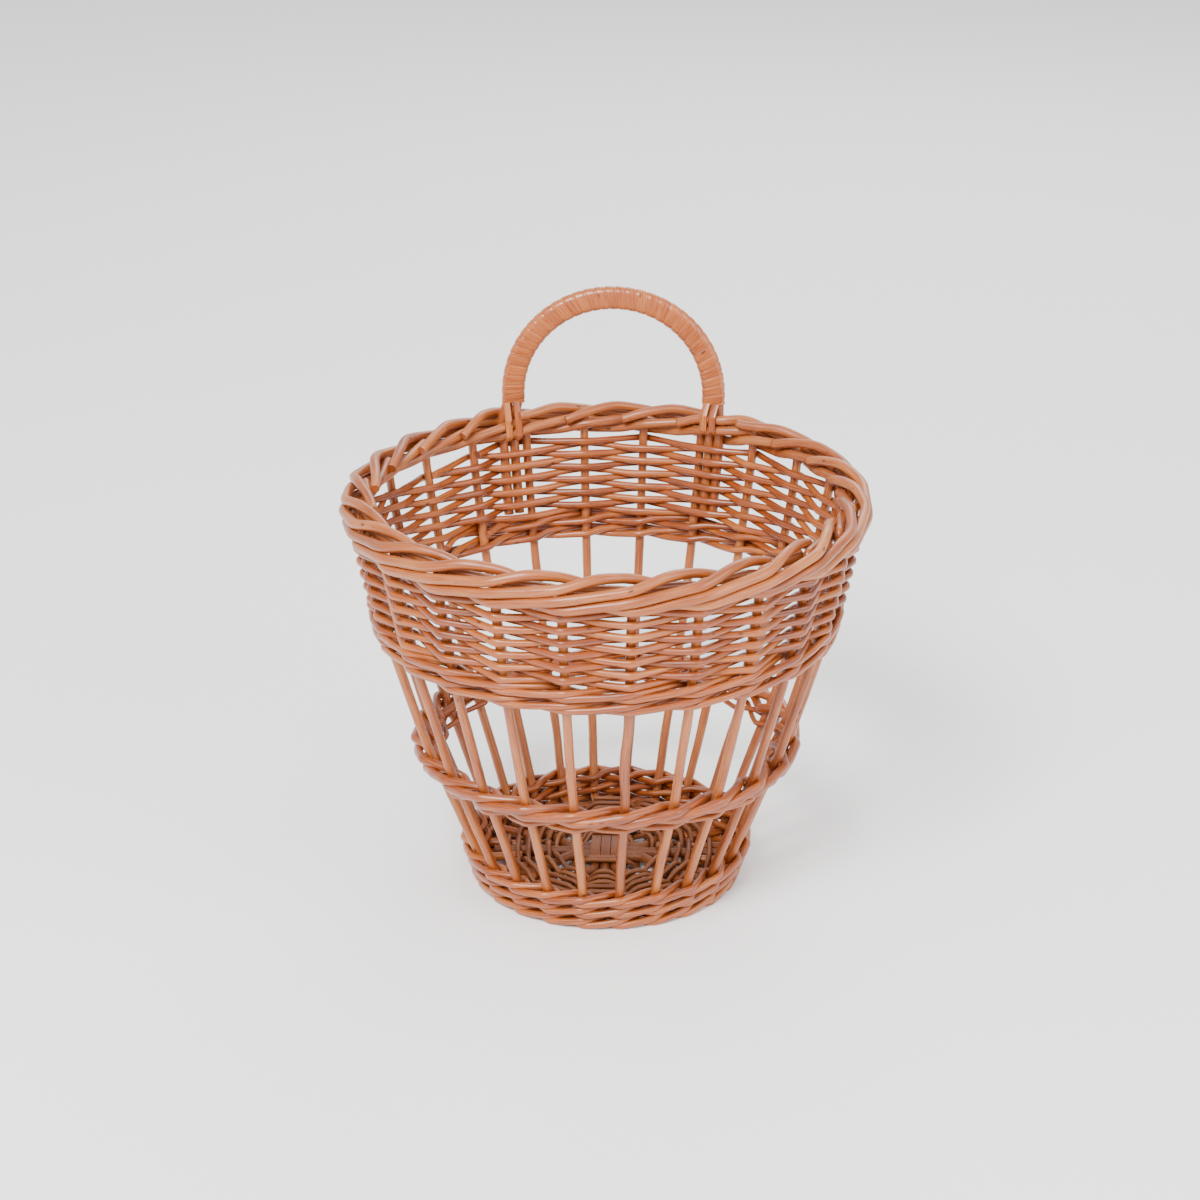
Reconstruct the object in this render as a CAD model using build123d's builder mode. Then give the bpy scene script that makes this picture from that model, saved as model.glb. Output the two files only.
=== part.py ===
from build123d import *
import math
import os

os.makedirs("parts", exist_ok=True)

# ---------------------------------------------------------------- driving sizes
# Round openwork basket of peeled willow. Origin: middle of the foot ring, on the
# ground. +Z is up and the handle stands at +Y. All sizes in mm.
STAKES = 24                 # uprights round the wall
STEP = 360 / STAKES         # angle from one upright to the next
STAKE_D = 4.1               # upright rod
STICK_D = 4.4               # base stick
BASE_WEAVER_D = 2.2         # fine rod that fills the base
UPSETT_D = 3.0              # rods of the wale round the foot
FITCH_D = 2.5               # thin pair under the middle wale
MIDDLE_D = 4.1              # rods of the middle wale
LOWER_D = 2.9               # rods of the wale under the woven band
BAND_D = 2.85               # rods of the woven band
BOW_D = 4.6                 # each of the two rods of the handle bow
SKEIN = 0.6                 # thickness of the split skein round the handle
CLEAR = 0.1                 # free room between rods that touch in the real basket

BASE_Z = 6.0                # height of the base sticks and of the lying stake butts
BASE_STICK_R = 51.0         # reach of a base stick
BUTT_R = 38.5               # where a stake butt starts beside its base stick
TURN_R = 57.3               # where a stake turns up
UPSETT_Z = 1.25             # lowest level of the foot wale
FITCH_Z = 57.6
MIDDLE_Z = 63.8
LOWER_Z = 124.2
BORDER_R = 106.8            # ring of the uprights inside the border
BORDER_Z = 176.0            # zero height of the border's own profile
BAND_ROWS = 12

HANDLE_Y = 96.5             # plane of the handle bow
BOW_HALF = 46.5             # half the span of the bow, middle to middle
BOW_SPRING_Z = 194.0        # where the half circle starts
WRAP_FOOT_Z = 190.0         # lower end of the wrapping
# How far each handle foot's inner and outer rod stand from their upright, round the wall.
RIGHT_RODS = (4.6, 9.4)
LEFT_RODS = (6.1, 11.4)
TAIL_Z = 137.2              # lower end of the handle rods inside the band

# Height and radius of the uprights' centre line, from the foot to the border.
WALL = [(0.0, 56.0), (BASE_Z, TURN_R), (18.2, 61.5), (54.0, 75.2), (73.0, 83.1),
        (118.5, 96.4), (156.0, 104.2), (172.0, BORDER_R), (200.0, BORDER_R)]

RIGHT_STAKE = 4             # the handle's right foot goes down before this upright
LEFT_STAKE = 7              # the handle's left foot goes down after this upright
CLIMB_FROM = 9              # the weavers climb to their next round between these
CLIMB_TO = 11


# ---------------------------------------------------------------- helpers
def wall_radius(z):
    """Radius of the uprights' centre line at height z."""
    for (z0, r0), (z1, r1) in zip(WALL, WALL[1:]):
        if z <= z1:
            return r0 + (r1 - r0) * (z - z0) / (z1 - z0)
    return WALL[-1][1]


def wall_lean(z):
    """Length along the leaning wall for one mm of height."""
    slope = (wall_radius(z + 0.5) - wall_radius(z - 0.5))
    return math.sqrt(1 + slope * slope)


def stake_angle(k):
    """Bearing of upright k, in degrees."""
    return STEP / 2 + STEP * k


def polar(degrees, radius, z):
    a = math.radians(degrees)
    return Vector(radius * math.cos(a), radius * math.sin(a), z)


def rod_edges(points, bends):
    """Straight runs through the points, joined by tangent arcs of the bend radii."""
    points = [Vector(*p) for p in points]
    if not isinstance(bends, (list, tuple)):
        bends = [bends] * (len(points) - 2)
    edges = []
    start = points[0]
    for before, corner, after, bend in zip(points, points[1:], points[2:], bends):
        back = before - corner
        ahead = after - corner
        dot = back.normalized().dot(ahead.normalized())
        half = math.acos(max(-1.0, min(1.0, dot))) / 2
        if half > math.pi / 2 - 1e-3:
            continue
        cut = min(bend / math.tan(half), 0.49 * back.length, 0.49 * ahead.length)
        radius = cut * math.tan(half)
        middle = (back.normalized() + ahead.normalized()).normalized()
        arc_middle = corner + middle * (radius / math.sin(half) - radius)
        arc_start = corner + back.normalized() * cut
        arc_end = corner + ahead.normalized() * cut
        edges.append(Edge.make_line(start, arc_start))
        edges.append(Edge.make_three_point_arc(arc_start, arc_middle, arc_end))
        start = arc_end
    edges.append(Edge.make_line(start, points[-1]))
    return edges


def round_rod(edges, diameter):
    """Sweeps a round rod along the edges, into the part being built."""
    path = Wire(edges)
    with BuildSketch(Plane(origin=path @ 0, z_dir=path % 0)) as end:
        Circle(diameter / 2)
    sweep(sections=end.sketch, path=path)


def post_span(k, banded, z):
    """First and last bearing of what a weaver goes round at upright k and height z."""
    angle = stake_angle(k)
    if banded and k % STAKES == RIGHT_STAKE:
        return angle - math.degrees(RIGHT_RODS[1] / wall_radius(z)), angle
    if banded and k % STAKES == LEFT_STAKE:
        return angle, angle + math.degrees(LEFT_RODS[1] / wall_radius(z))
    return angle, angle


# One repeat of each stroke, from behind an upright: uprights passed, side (1 is
# outside, -1 inside, 0 between) and height as a share of one rod.
RAND = (2, [(0, -1, 0), (1, 1, 0)])
PAIR = (2, [(0, -1, 0.5), (0.5, 0, 0), (1, 1, 0.5), (1.5, 0, 1)])
WALE = (3, [(0, -1, 0.5), (0.5, 0, 0), (1, 1, 0), (1.42, 1, 0), (1.78, 1, 1), (2, 1, 1), (2.5, 0, 1),
            (2.72, -0.44, 1)])


def climb(u, rise):
    """Height gained by a weaver that has passed u uprights from the start."""
    turns, rest = divmod(u - CLIMB_TO, STAKES)
    ramp = max(0.0, rest - (STAKES - (CLIMB_TO - CLIMB_FROM))) / (CLIMB_TO - CLIMB_FROM)
    return rise * (turns + ramp)


def weaver(stroke, first, passed, diameter, z, lift, rise, banded=False, behind=None):
    """Points of a weaver: behind upright `first`, then past `passed` uprights."""
    period, marks = stroke
    points = []
    u = first
    while u < first + passed + 1e-6:
        for ahead, side, level in marks:
            v = u + ahead
            if v > first + passed + 1e-6:
                break
            height = z + lift * level + climb(v, rise)
            if side < 0 and behind is not None:
                height = behind if side == -1 else 0.9 * height + 0.1 * behind
            whole = math.floor(v + 1e-6)
            part = v - whole
            start, end = post_span(whole, banded, height)
            if part > 1e-6:
                bearings = [end + part * (post_span(whole + 1, banded, height)[0] - end)]
            elif end - start > 1e-6:
                bearings = [start, end]
            else:
                bearings = [start]
            thick = BOW_D + CLEAR if len(bearings) == 2 else STAKE_D
            out = side * ((thick + diameter) / 2 + CLEAR) * wall_lean(height)
            for bearing in bearings:
                points.append((bearing, wall_radius(height) + out, height, side))
        u += period
    return points


def lay(points, diameter, closed=False):
    """Turns (bearing, radius, height, side) marks into a swept weaver.

    Each bend is concentric with the upright it rounds, and its corner is moved out until
    the steeper of its two straight runs passes clear of that upright.
    """
    bend = (STAKE_D + diameter) / 2 + CLEAR
    if closed:
        gap = math.degrees(0.8 / points[0][1])
        b, r, z, s = points[0]
        points = [(b + gap, r, z, s)] + points[1:]
        b, r, z, s = points[-1]
        points = points[:-1] + [(b - gap, r, z, s)]
    flat = [polar(b, r, z) for b, r, z, s in points]
    moved = []
    for i, (corner, mark) in enumerate(zip(flat, points)):
        outward = Vector(corner.X, corner.Y, 0).normalized()
        others = [flat[j] for j in (i - 1, i + 1) if 0 <= j < len(flat)]
        slopes = [(other - corner).normalized().dot(outward) for other in others]
        steeper = max(abs(slope) for slope in slopes)
        side = mark[3] if mark[3] * sum(slopes) < 0 else 0
        moved.append(corner + outward * side * bend * (1 / math.sqrt(1 - steeper ** 2) - 1))
    round_rod(rod_edges(moved, bend), diameter)


# ---------------------------------------------------------------- base
SLATH = STICK_D + CLEAR             # spacing of the three sticks side by side
SPREAD_A = (16.5, SLATH)            # where an outer stick starts to open out
SPREAD_B = (26.0, 15.0)             # where it has reached its own bearing
CHEEK = STICK_D - 0.2               # width of the opened wood beside a split


def stick_points(side):
    """A base stick from end to end along X; side -1, 0 or 1 is its place."""
    if side == 0:
        return [(-BASE_STICK_R, 0, BASE_Z), (BASE_STICK_R, 0, BASE_Z)]
    tip = polar(30, BASE_STICK_R, BASE_Z)
    half = [(tip.X, tip.Y), SPREAD_B, SPREAD_A]
    return ([(-x, side * y, BASE_Z) for x, y in half]
            + [(x, side * y, BASE_Z) for x, y in reversed(half)])


def stick_bearing(k, radius):
    """Bearing of stick end k (0 to 11) at this distance from the middle."""
    middle = round(k / 3) * 90
    side = k - 3 * round(k / 3)
    if side == 0:
        return middle
    if radius >= math.hypot(*SPREAD_B):
        return middle + 30 * side
    dx, dy = SPREAD_B[0] - SPREAD_A[0], SPREAD_B[1] - SPREAD_A[1]
    a = dx * dx + dy * dy
    b = 2 * (SPREAD_A[0] * dx + SPREAD_A[1] * dy)
    c = SPREAD_A[0] ** 2 + SPREAD_A[1] ** 2 - radius ** 2
    t = (-b + math.sqrt(b * b - 4 * a * c)) / (2 * a)
    return middle + side * math.degrees(math.atan2(SPREAD_A[1] + t * dy, SPREAD_A[0] + t * dx))


base_nodes = []
for number, side in enumerate((-1, 0, 1), 1):
    # Three whole sticks lie along X.
    with BuildPart() as stick:
        round_rod(rod_edges(stick_points(side), 5.0), STICK_D)
    stick.part.label = f"base_stick_whole_{number}"
    export_step(stick.part, f"parts/base_stick_whole_{number}.step")

    # Three split sticks lie along Y and open round the whole ones.
    turned = [(-y, x, z) for x, y, z in stick_points(side)]
    with BuildPart() as split:
        round_rod(rod_edges(turned, 5.0), STICK_D)
        with BuildSketch(Plane.YZ.offset(-side * SLATH - CHEEK / 2)):
            with Locations((0, BASE_Z)):
                Ellipse(13.0, 4.9)
        extrude(amount=CHEEK)
        with BuildSketch(Plane.YZ.offset(-side * SLATH - STICK_D)):
            with Locations((0, BASE_Z)):
                Ellipse(9.0, 2.75)
        extrude(amount=2 * STICK_D, mode=Mode.SUBTRACT)
    split.part.label = f"base_stick_split_{number}"
    export_step(split.part, f"parts/base_stick_split_{number}.step")

# Two rounds of a fine rod tie the cross of sticks, over one group and under the next.
UNDER = STICK_D / 2 + BASE_WEAVER_D / 2 + 0.15
tie_points = []
for reach, half_side in ((12.0, 6.9), (14.5, 7.9)):
    for quarter in range(4):
        height = BASE_Z + (UNDER if quarter % 2 else -UNDER)
        for sideways in (-1, 1):
            p = Vector(reach, sideways * half_side, height)
            tie_points.append(p.rotate(Axis.Z, 90 * quarter))
with BuildPart() as base_slath_tie:
    round_rod(rod_edges(tie_points, 1.6), BASE_WEAVER_D)
base_slath_tie.part.label = "base_slath_tie"
export_step(base_slath_tie.part, "parts/base_slath_tie.step")

# Two fine rods chase each other round the opened sticks, one over where the other is under.
BASE_PITCH = BASE_WEAVER_D + 0.2
BASE_START = 21.5
BASE_POSTS = 64
for number, name in enumerate(("base_weaver_a", "base_weaver_b")):
    spiral = []
    for post in range(BASE_POSTS):
        radius = BASE_START + BASE_PITCH * (number + 2 * post / 12)
        bearing = stick_bearing(post % 12, radius) + 360 * (post // 12)
        half_width = 2.15 if post >= 12 else 2.5
        if radius > BUTT_R - 3.0:
            half_width = radius * math.sin(math.radians(STEP / 2)) + 1.2
        swing = math.degrees(half_width / radius)
        height = BASE_Z + (UNDER if (post + number) % 2 else -UNDER)
        drift = BASE_PITCH * 2 * swing / 360
        spiral.append(polar(bearing - swing, radius - drift, height))
        spiral.append(polar(bearing + swing, radius + drift, height))
    with BuildPart() as base_weaver:
        round_rod(rod_edges(spiral, 1.6), BASE_WEAVER_D)
    base_weaver.part.label = name
    export_step(base_weaver.part, f"parts/{name}.step")

# ---------------------------------------------------------------- uprights and border
# The border is made of the uprights themselves. Each mark is how many spaces round,
# how far outside the ring of uprights and how high over BORDER_Z the rod is there:
# behind one upright, in front of three, over the top and down inside.
BEHIND = (1.0, -4.6, 2.0)
FRONT_LOW = (2.0, 5.4, -3.3)
FRONT_MIDDLE = (3.0, 6.7, 1.6)
FRONT_HIGH = (4.0, 5.7, 5.9)
BORDER = [BEHIND, (1.35, -1.2, -1.4), FRONT_LOW, FRONT_MIDDLE, FRONT_HIGH,
          (4.5, 0.6, 9.5), (5.0, -4.7, 7.7), (5.2, -5.1, 6.9)]

# Where a handle foot goes through the border, the rods around it give way.
RIGHT_FOOT = {
    0: [(0.5, -5.1, 3.6), (1.0, -4.9, 2.0)],
    1: [BEHIND, (1.2, -3.2, -0.4), (1.56, 4.3, -4.6), (1.88, 4.6, -4.2), FRONT_LOW],
    2: [FRONT_LOW, (2.56, 6.7, -0.2), FRONT_MIDDLE],
    3: [FRONT_MIDDLE, (3.55, 6.3, 4.3), FRONT_HIGH],
    4: [FRONT_HIGH, (4.25, 1.4, 9.5), (4.52, -5.1, 8.2), (5.0, -4.8, 7.6)],
    5: [(5.0, -4.6, 8.2), (5.2, -5.4, 8.8)],
}
LEFT_FOOT = {
    0: [(0.235, -3.4, 4.5), BEHIND],
    1: [BEHIND, (1.25, -4.6, -0.1), (1.5, -3.0, -1.2), FRONT_LOW],
    2: [FRONT_LOW, (2.2, 6.5, -2.2), (2.5, 6.8, -0.8), FRONT_MIDDLE],
    3: [FRONT_MIDDLE, (3.2, 6.8, 2.3), (3.5, 6.5, 3.7), FRONT_HIGH],
    4: [FRONT_HIGH, (4.15, 6.5, 6.6), (4.5, 6.5, 8.3), (4.8, 0.5, 10.2), (5.0, -3.6, 9.0)],
    5: [(5.0, -4.8, 8.4), (5.2, -5.8, 8.8)],
}


def border_marks(k):
    """The border marks of upright k, with the handle feet allowed for."""
    marks = list(BORDER)
    for foot, space in ((RIGHT_FOOT, RIGHT_STAKE - 1), (LEFT_FOOT, LEFT_STAKE)):
        passed = (space - k) % STAKES
        if passed in foot:
            kept = [m for m in marks if not passed <= m[0] <= passed + 1 + 1e-6]
            marks = sorted(kept + foot[passed])
    return marks


def stake_points(k):
    """Centre line of upright k: butt in the base, wall, then its border stroke."""
    angle = stake_angle(k)
    points = [polar(angle, BUTT_R, BASE_Z)]
    points += [polar(angle, r, z) for z, r in WALL[1:-1]]
    points.append(polar(angle, BORDER_R, BORDER_Z + 4.7))
    for spaces, out, up in border_marks(k):
        points.append(polar(angle + STEP * spaces, BORDER_R + out, BORDER_Z + up))
    return points


for k in range(STAKES):
    points = stake_points(k)
    bends = [3.2] + [20.0] * (len(WALL) - 3) + [4.0] + [6.0] * (len(points) - len(WALL) - 1)
    with BuildPart() as stake:
        round_rod(rod_edges(points, bends), STAKE_D)
    stake.part.label = f"stake_{k + 1:02d}"
    export_step(stake.part, f"parts/stake_{k + 1:02d}.step")

# ---------------------------------------------------------------- wales and weave
UPSETT_LIFT = UPSETT_D + 0.08
# The first round lies under the stake butts and the second just over them.
UPSETT_BEHIND = (BASE_Z - (STAKE_D + UPSETT_D) / 2 - 0.45, BASE_Z + (STAKE_D + UPSETT_D) / 2 + 0.6, None)
for turn in range(3):
    for number in range(3):
        level = UPSETT_Z + 2 * turn * UPSETT_LIFT
        marks = weaver(WALE, CLIMB_FROM + 3 * turn + number, STAKES, UPSETT_D, level, UPSETT_LIFT, 0,
                       behind=UPSETT_BEHIND[turn])
        name = f"foot_wale_{turn + 1}_rod_{number + 1}"
        with BuildPart() as upsett:
            lay(marks, UPSETT_D, closed=True)
            if turn == 0:
                # Worn flat where it stands on the ground.
                with Locations((0, 0, -5)):
                    Box(200, 200, 10, mode=Mode.SUBTRACT)
        upsett.part.label = name
        export_step(upsett.part, f"parts/{name}.step")

for number in range(2):
    marks = weaver(PAIR, CLIMB_FROM + number, STAKES, FITCH_D, FITCH_Z, FITCH_D + 0.6, 0)
    with BuildPart() as fitch:
        lay(marks, FITCH_D, closed=True)
    fitch.part.label = f"middle_fitch_rod_{number + 1}"
    export_step(fitch.part, f"parts/middle_fitch_rod_{number + 1}.step")

for number in range(3):
    marks = weaver(WALE, CLIMB_FROM + number, STAKES, MIDDLE_D, MIDDLE_Z, MIDDLE_D + 0.2, 0)
    with BuildPart() as middle:
        lay(marks, MIDDLE_D, closed=True)
    middle.part.label = f"middle_wale_rod_{number + 1}"
    export_step(middle.part, f"parts/middle_wale_rod_{number + 1}.step")

BAND_PITCH = LOWER_D + 0.08
for number in range(3):
    marks = weaver(WALE, CLIMB_TO + number, 2 * STAKES - 3, LOWER_D, LOWER_Z, BAND_PITCH, 2 * BAND_PITCH)
    with BuildPart() as lower:
        lay(marks, LOWER_D)
    lower.part.label = f"lower_wale_rod_{number + 1}"
    export_step(lower.part, f"parts/lower_wale_rod_{number + 1}.step")

BAND_Z = LOWER_Z + 4 * BAND_PITCH
for number, name in enumerate(("band_weaver_a", "band_weaver_b")):
    passed = STAKES * BAND_ROWS // 2 - 2 - 2 * number
    marks = weaver(RAND, CLIMB_TO + number, passed, BAND_D, BAND_Z + number * BAND_PITCH, 0,
                   2 * BAND_PITCH, banded=True)
    with BuildPart() as band:
        lay(marks, BAND_D)
    band.part.label = name
    export_step(band.part, f"parts/{name}.step")

# ---------------------------------------------------------------- handle
TAIL_TURN_Z = 171.2         # the tails follow the wall up to here
RIGHT_CHANNEL = -0.5        # where the feet stand in the border, outside its ring
LEFT_CHANNEL = 1.8


def tail(which, hand):
    """Handle rod from inside the band up through the border; hand is 1 right, -1 left."""
    stake = stake_angle(RIGHT_STAKE if hand > 0 else LEFT_STAKE)
    offset = (RIGHT_RODS if hand > 0 else LEFT_RODS)[which]
    channel = RIGHT_CHANNEL if hand > 0 else LEFT_CHANNEL
    marks = [(TAIL_Z, wall_radius(TAIL_Z)), (156.0, wall_radius(156.0)),
             (TAIL_TURN_Z, wall_radius(TAIL_TURN_Z)), (BORDER_Z - 1.5, BORDER_R + channel),
             (BORDER_Z + 6.0, BORDER_R + channel)]
    return [polar(stake - hand * math.degrees(offset / r), r, z) for z, r in marks]


BOW_GAP = BOW_D + 0.3
for name, which, shift in (("handle_bow_outer", 1, BOW_GAP / 2),
                           ("handle_bow_inner", 0, -BOW_GAP / 2)):
    x = BOW_HALF + shift
    rise = [tail(which, 1), [Vector(x, HANDLE_Y, WRAP_FOOT_Z), Vector(x, HANDLE_Y, BOW_SPRING_Z)]]
    fall = [tail(which, -1), [Vector(-x, HANDLE_Y, WRAP_FOOT_Z), Vector(-x, HANDLE_Y, BOW_SPRING_Z)]]
    top = Vector(0, HANDLE_Y, BOW_SPRING_Z + x)
    edges = rod_edges(rise[0] + rise[1], 6.0)
    edges.append(Edge.make_three_point_arc(rise[1][1], top, fall[1][1]))
    edges += rod_edges(list(reversed(fall[0] + fall[1])), 6.0)
    with BuildPart() as bow:
        round_rod(edges, BOW_D)
    bow.part.label = name
    export_step(bow.part, f"parts/{name}.step")

# The skein lies turn against turn as one thin skin round both rods.
right_foot = Vector(BOW_HALF, HANDLE_Y, WRAP_FOOT_Z)
left_foot = Vector(-BOW_HALF, HANDLE_Y, WRAP_FOOT_Z)
right_spring = Vector(BOW_HALF, HANDLE_Y, BOW_SPRING_Z)
left_spring = Vector(-BOW_HALF, HANDLE_Y, BOW_SPRING_Z)
crown = Vector(0, HANDLE_Y, BOW_SPRING_Z + BOW_HALF)
wrap_path = Wire([Edge.make_line(right_foot, right_spring),
                  Edge.make_three_point_arc(right_spring, crown, left_spring),
                  Edge.make_line(left_spring, left_foot)])
with BuildPart() as handle_wrap:
    with BuildSketch(Plane(origin=right_foot, x_dir=(1, 0, 0), z_dir=(0, 0, 1))):
        SlotCenterToCenter(BOW_GAP, BOW_D + 0.1 + 2 * SKEIN)
        SlotCenterToCenter(BOW_GAP, BOW_D + 0.1, mode=Mode.SUBTRACT)
    sweep(path=wrap_path)
handle_wrap.part.label = "handle_wrap"
export_step(handle_wrap.part, "parts/handle_wrap.step")

# Two skein strands tie each foot down over the inner rods of the border.
LASH_WIDTH = 3.2
RIGHT_LASH = [(-3.9, 15.5), (-7.8, 10.0), (-7.8, 3.0), (-5.8, 0.8), (-3.8, 0.8)]
LEFT_LASH = [(-3.9, 15.5), (-6.2, 7.0), (-7.2, -0.4), (-5.4, -3.0), (-3.4, -3.2)]
for name, marks, hand in (("handle_lashing_right", RIGHT_LASH, 1), ("handle_lashing_left", LEFT_LASH, -1)):
    stake = stake_angle(RIGHT_STAKE if hand > 0 else LEFT_STAKE)
    with BuildPart() as lashing:
        for offset in (RIGHT_RODS if hand > 0 else LEFT_RODS):
            bearing = stake - hand * math.degrees(offset / BORDER_R)
            line = [polar(bearing, BORDER_R + out, BORDER_Z + up) for out, up in marks]
            path = Wire(rod_edges(line, 1.2))
            around = polar(bearing + 90, 1, 0)
            with BuildSketch(Plane(origin=path @ 0, x_dir=around, z_dir=path % 0)):
                Rectangle(LASH_WIDTH, SKEIN)
            sweep(path=path)
    lashing.part.label = name
    export_step(lashing.part, f"parts/{name}.step")
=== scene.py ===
# %% [markdown]
# # A willow egg basket
#
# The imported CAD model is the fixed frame: round rods in the right places. A real basket is
# made of willow shoots, which taper, are a little oval, wander, and carry the marks of their
# leaves. So nearly every rod is made again here as a surface carried along its own centre
# line, and takes the place of its CAD node. All lengths are in millimetres until the very
# last step, where a mesh is written in metres.

# %% Load the frame
import math

import bpy
import numpy as np
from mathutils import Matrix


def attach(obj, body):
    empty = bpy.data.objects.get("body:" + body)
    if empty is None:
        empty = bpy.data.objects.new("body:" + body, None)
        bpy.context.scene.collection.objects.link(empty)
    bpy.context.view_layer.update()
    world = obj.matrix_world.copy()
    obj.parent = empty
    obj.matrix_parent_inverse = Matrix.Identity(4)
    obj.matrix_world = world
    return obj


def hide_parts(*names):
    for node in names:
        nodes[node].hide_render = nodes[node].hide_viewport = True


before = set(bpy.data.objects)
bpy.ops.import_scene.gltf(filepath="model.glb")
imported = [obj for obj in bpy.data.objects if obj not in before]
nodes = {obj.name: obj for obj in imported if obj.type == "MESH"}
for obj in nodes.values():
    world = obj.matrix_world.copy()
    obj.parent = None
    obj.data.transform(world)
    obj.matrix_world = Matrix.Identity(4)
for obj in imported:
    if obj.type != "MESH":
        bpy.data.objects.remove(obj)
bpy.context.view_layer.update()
print("CAD nodes:", len(nodes))

# %% [markdown]
# ## The plan of the basket
#
# Twenty-four uprights stand in a ring. Everything that is woven is described by how many
# uprights it has passed, so a bearing of one upright is 15 degrees. The wall leans outwards
# in nearly straight lines, a little steeper over the foot and nearly upright at the border.

# %% Sizes in millimetres
MM = 0.001
STAKES = 24
STEP = 360 / STAKES
STAKE_D = 4.1
CLEAR = 0.1
BASE_Z = 6.0
BUTT_R = 38.5
BORDER_R = 106.8
BORDER_Z = 176.0
WALL_Z = np.array([0.0, 6.0, 18.2, 54.0, 73.0, 118.5, 156.0, 172.0, 200.0])
WALL_R = np.array([56.0, 57.3, 61.5, 75.2, 83.1, 96.4, 104.2, BORDER_R, BORDER_R])

RIGHT_STAKE = 4
LEFT_STAKE = 7
RIGHT_RODS = (4.6, 9.4)
LEFT_RODS = (6.1, 11.4)
CLIMB_FROM = 9
CLIMB_TO = 11
BAND_MIDDLE_Z = 150

draws = np.random.default_rng(24)


# %% [markdown]
# ## From a centre line to a rod
#
# A rod needs a smooth line and a section carried along it. The line starts as straight runs
# between a few marks. Sampling the runs evenly and blurring the samples along the line turns
# every corner into the kind of soft bend that damp willow takes, which arcs can't do.
#
# A bezier curve with a bevel would be quicker to write, but its section is a perfect circle.
# Here the section is a function of place, so thickness, ovality and nodes can all be in it.

# %% Lines
def wall_radius(z):
    """Radius of the ring of uprights at height z, from the wall's own profile."""
    return np.interp(z, WALL_Z, WALL_R)


def wall_lean(z):
    """Length along the leaning wall for one unit of height: sqrt(1 + slope squared)."""
    slope = wall_radius(z + 0.5) - wall_radius(z - 0.5)
    return np.sqrt(1 + slope ** 2)


def stake_angle(k):
    """Bearing of upright k in degrees: half a step, and then a step for each upright."""
    return STEP / 2 + STEP * k


def polar(degrees, radius, z):
    """Points at a bearing, radius and height: x = r cos a, y = r sin a."""
    a = np.radians(degrees)
    return np.stack(np.broadcast_arrays(radius * np.cos(a), radius * np.sin(a), z), axis=-1)


def even(line, step):
    """The same line with its points a fixed step apart along its length."""
    lengths = np.linalg.norm(np.diff(line, axis=0), axis=1)
    along = np.concatenate([[0.0], np.cumsum(lengths)])
    wanted = np.linspace(0.0, along[-1], max(4, int(along[-1] / step) + 1))
    return np.stack([np.interp(wanted, along, line[:, axis]) for axis in range(3)], axis=1)


def soften(line, step, blur):
    """Each point becomes the bell-weighted mean of its neighbours; the ends stay put."""
    reach = max(1, int(round(3 * blur / step)))
    offsets = np.arange(-reach, reach + 1) * step
    weights = np.exp(-0.5 * (offsets / blur) ** 2)
    weights /= weights.sum()
    before = 2 * line[0] - line[1:reach + 1][::-1]
    after = 2 * line[-1] - line[-reach - 1:-1][::-1]
    padded = np.concatenate([before, line, after])
    return np.stack([np.convolve(padded[:, axis], weights, mode="valid") for axis in range(3)], axis=1)


def ease(x):
    """Smooth step from 0 to 1: 3x^2 - 2x^3 of the clipped value."""
    x = np.clip(x, 0, 1)
    return x * x * (3 - 2 * x)


def wander(along, wavelength, amount):
    """A slow random wave: three sines of nearby wavelengths, with random phases."""
    phases = draws.uniform(0, 2 * math.pi, 3)
    waves = [np.sin(2 * math.pi * along / (wavelength * stretch) + phase)
             for stretch, phase in zip((1.0, 0.61, 1.73), phases)]
    return amount * sum(waves) / 3


# %% [markdown]
# ## Writing a mesh
#
# A swept surface is a grid: one direction runs along the rod and the other round it. The
# whole grid goes into the mesh at once. The grid also gives the rod its own map, in
# millimetres round and along, so that grain can follow every bend. Each rod gets a random
# tone as well, because no two shoots dry to quite the same colour.

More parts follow.
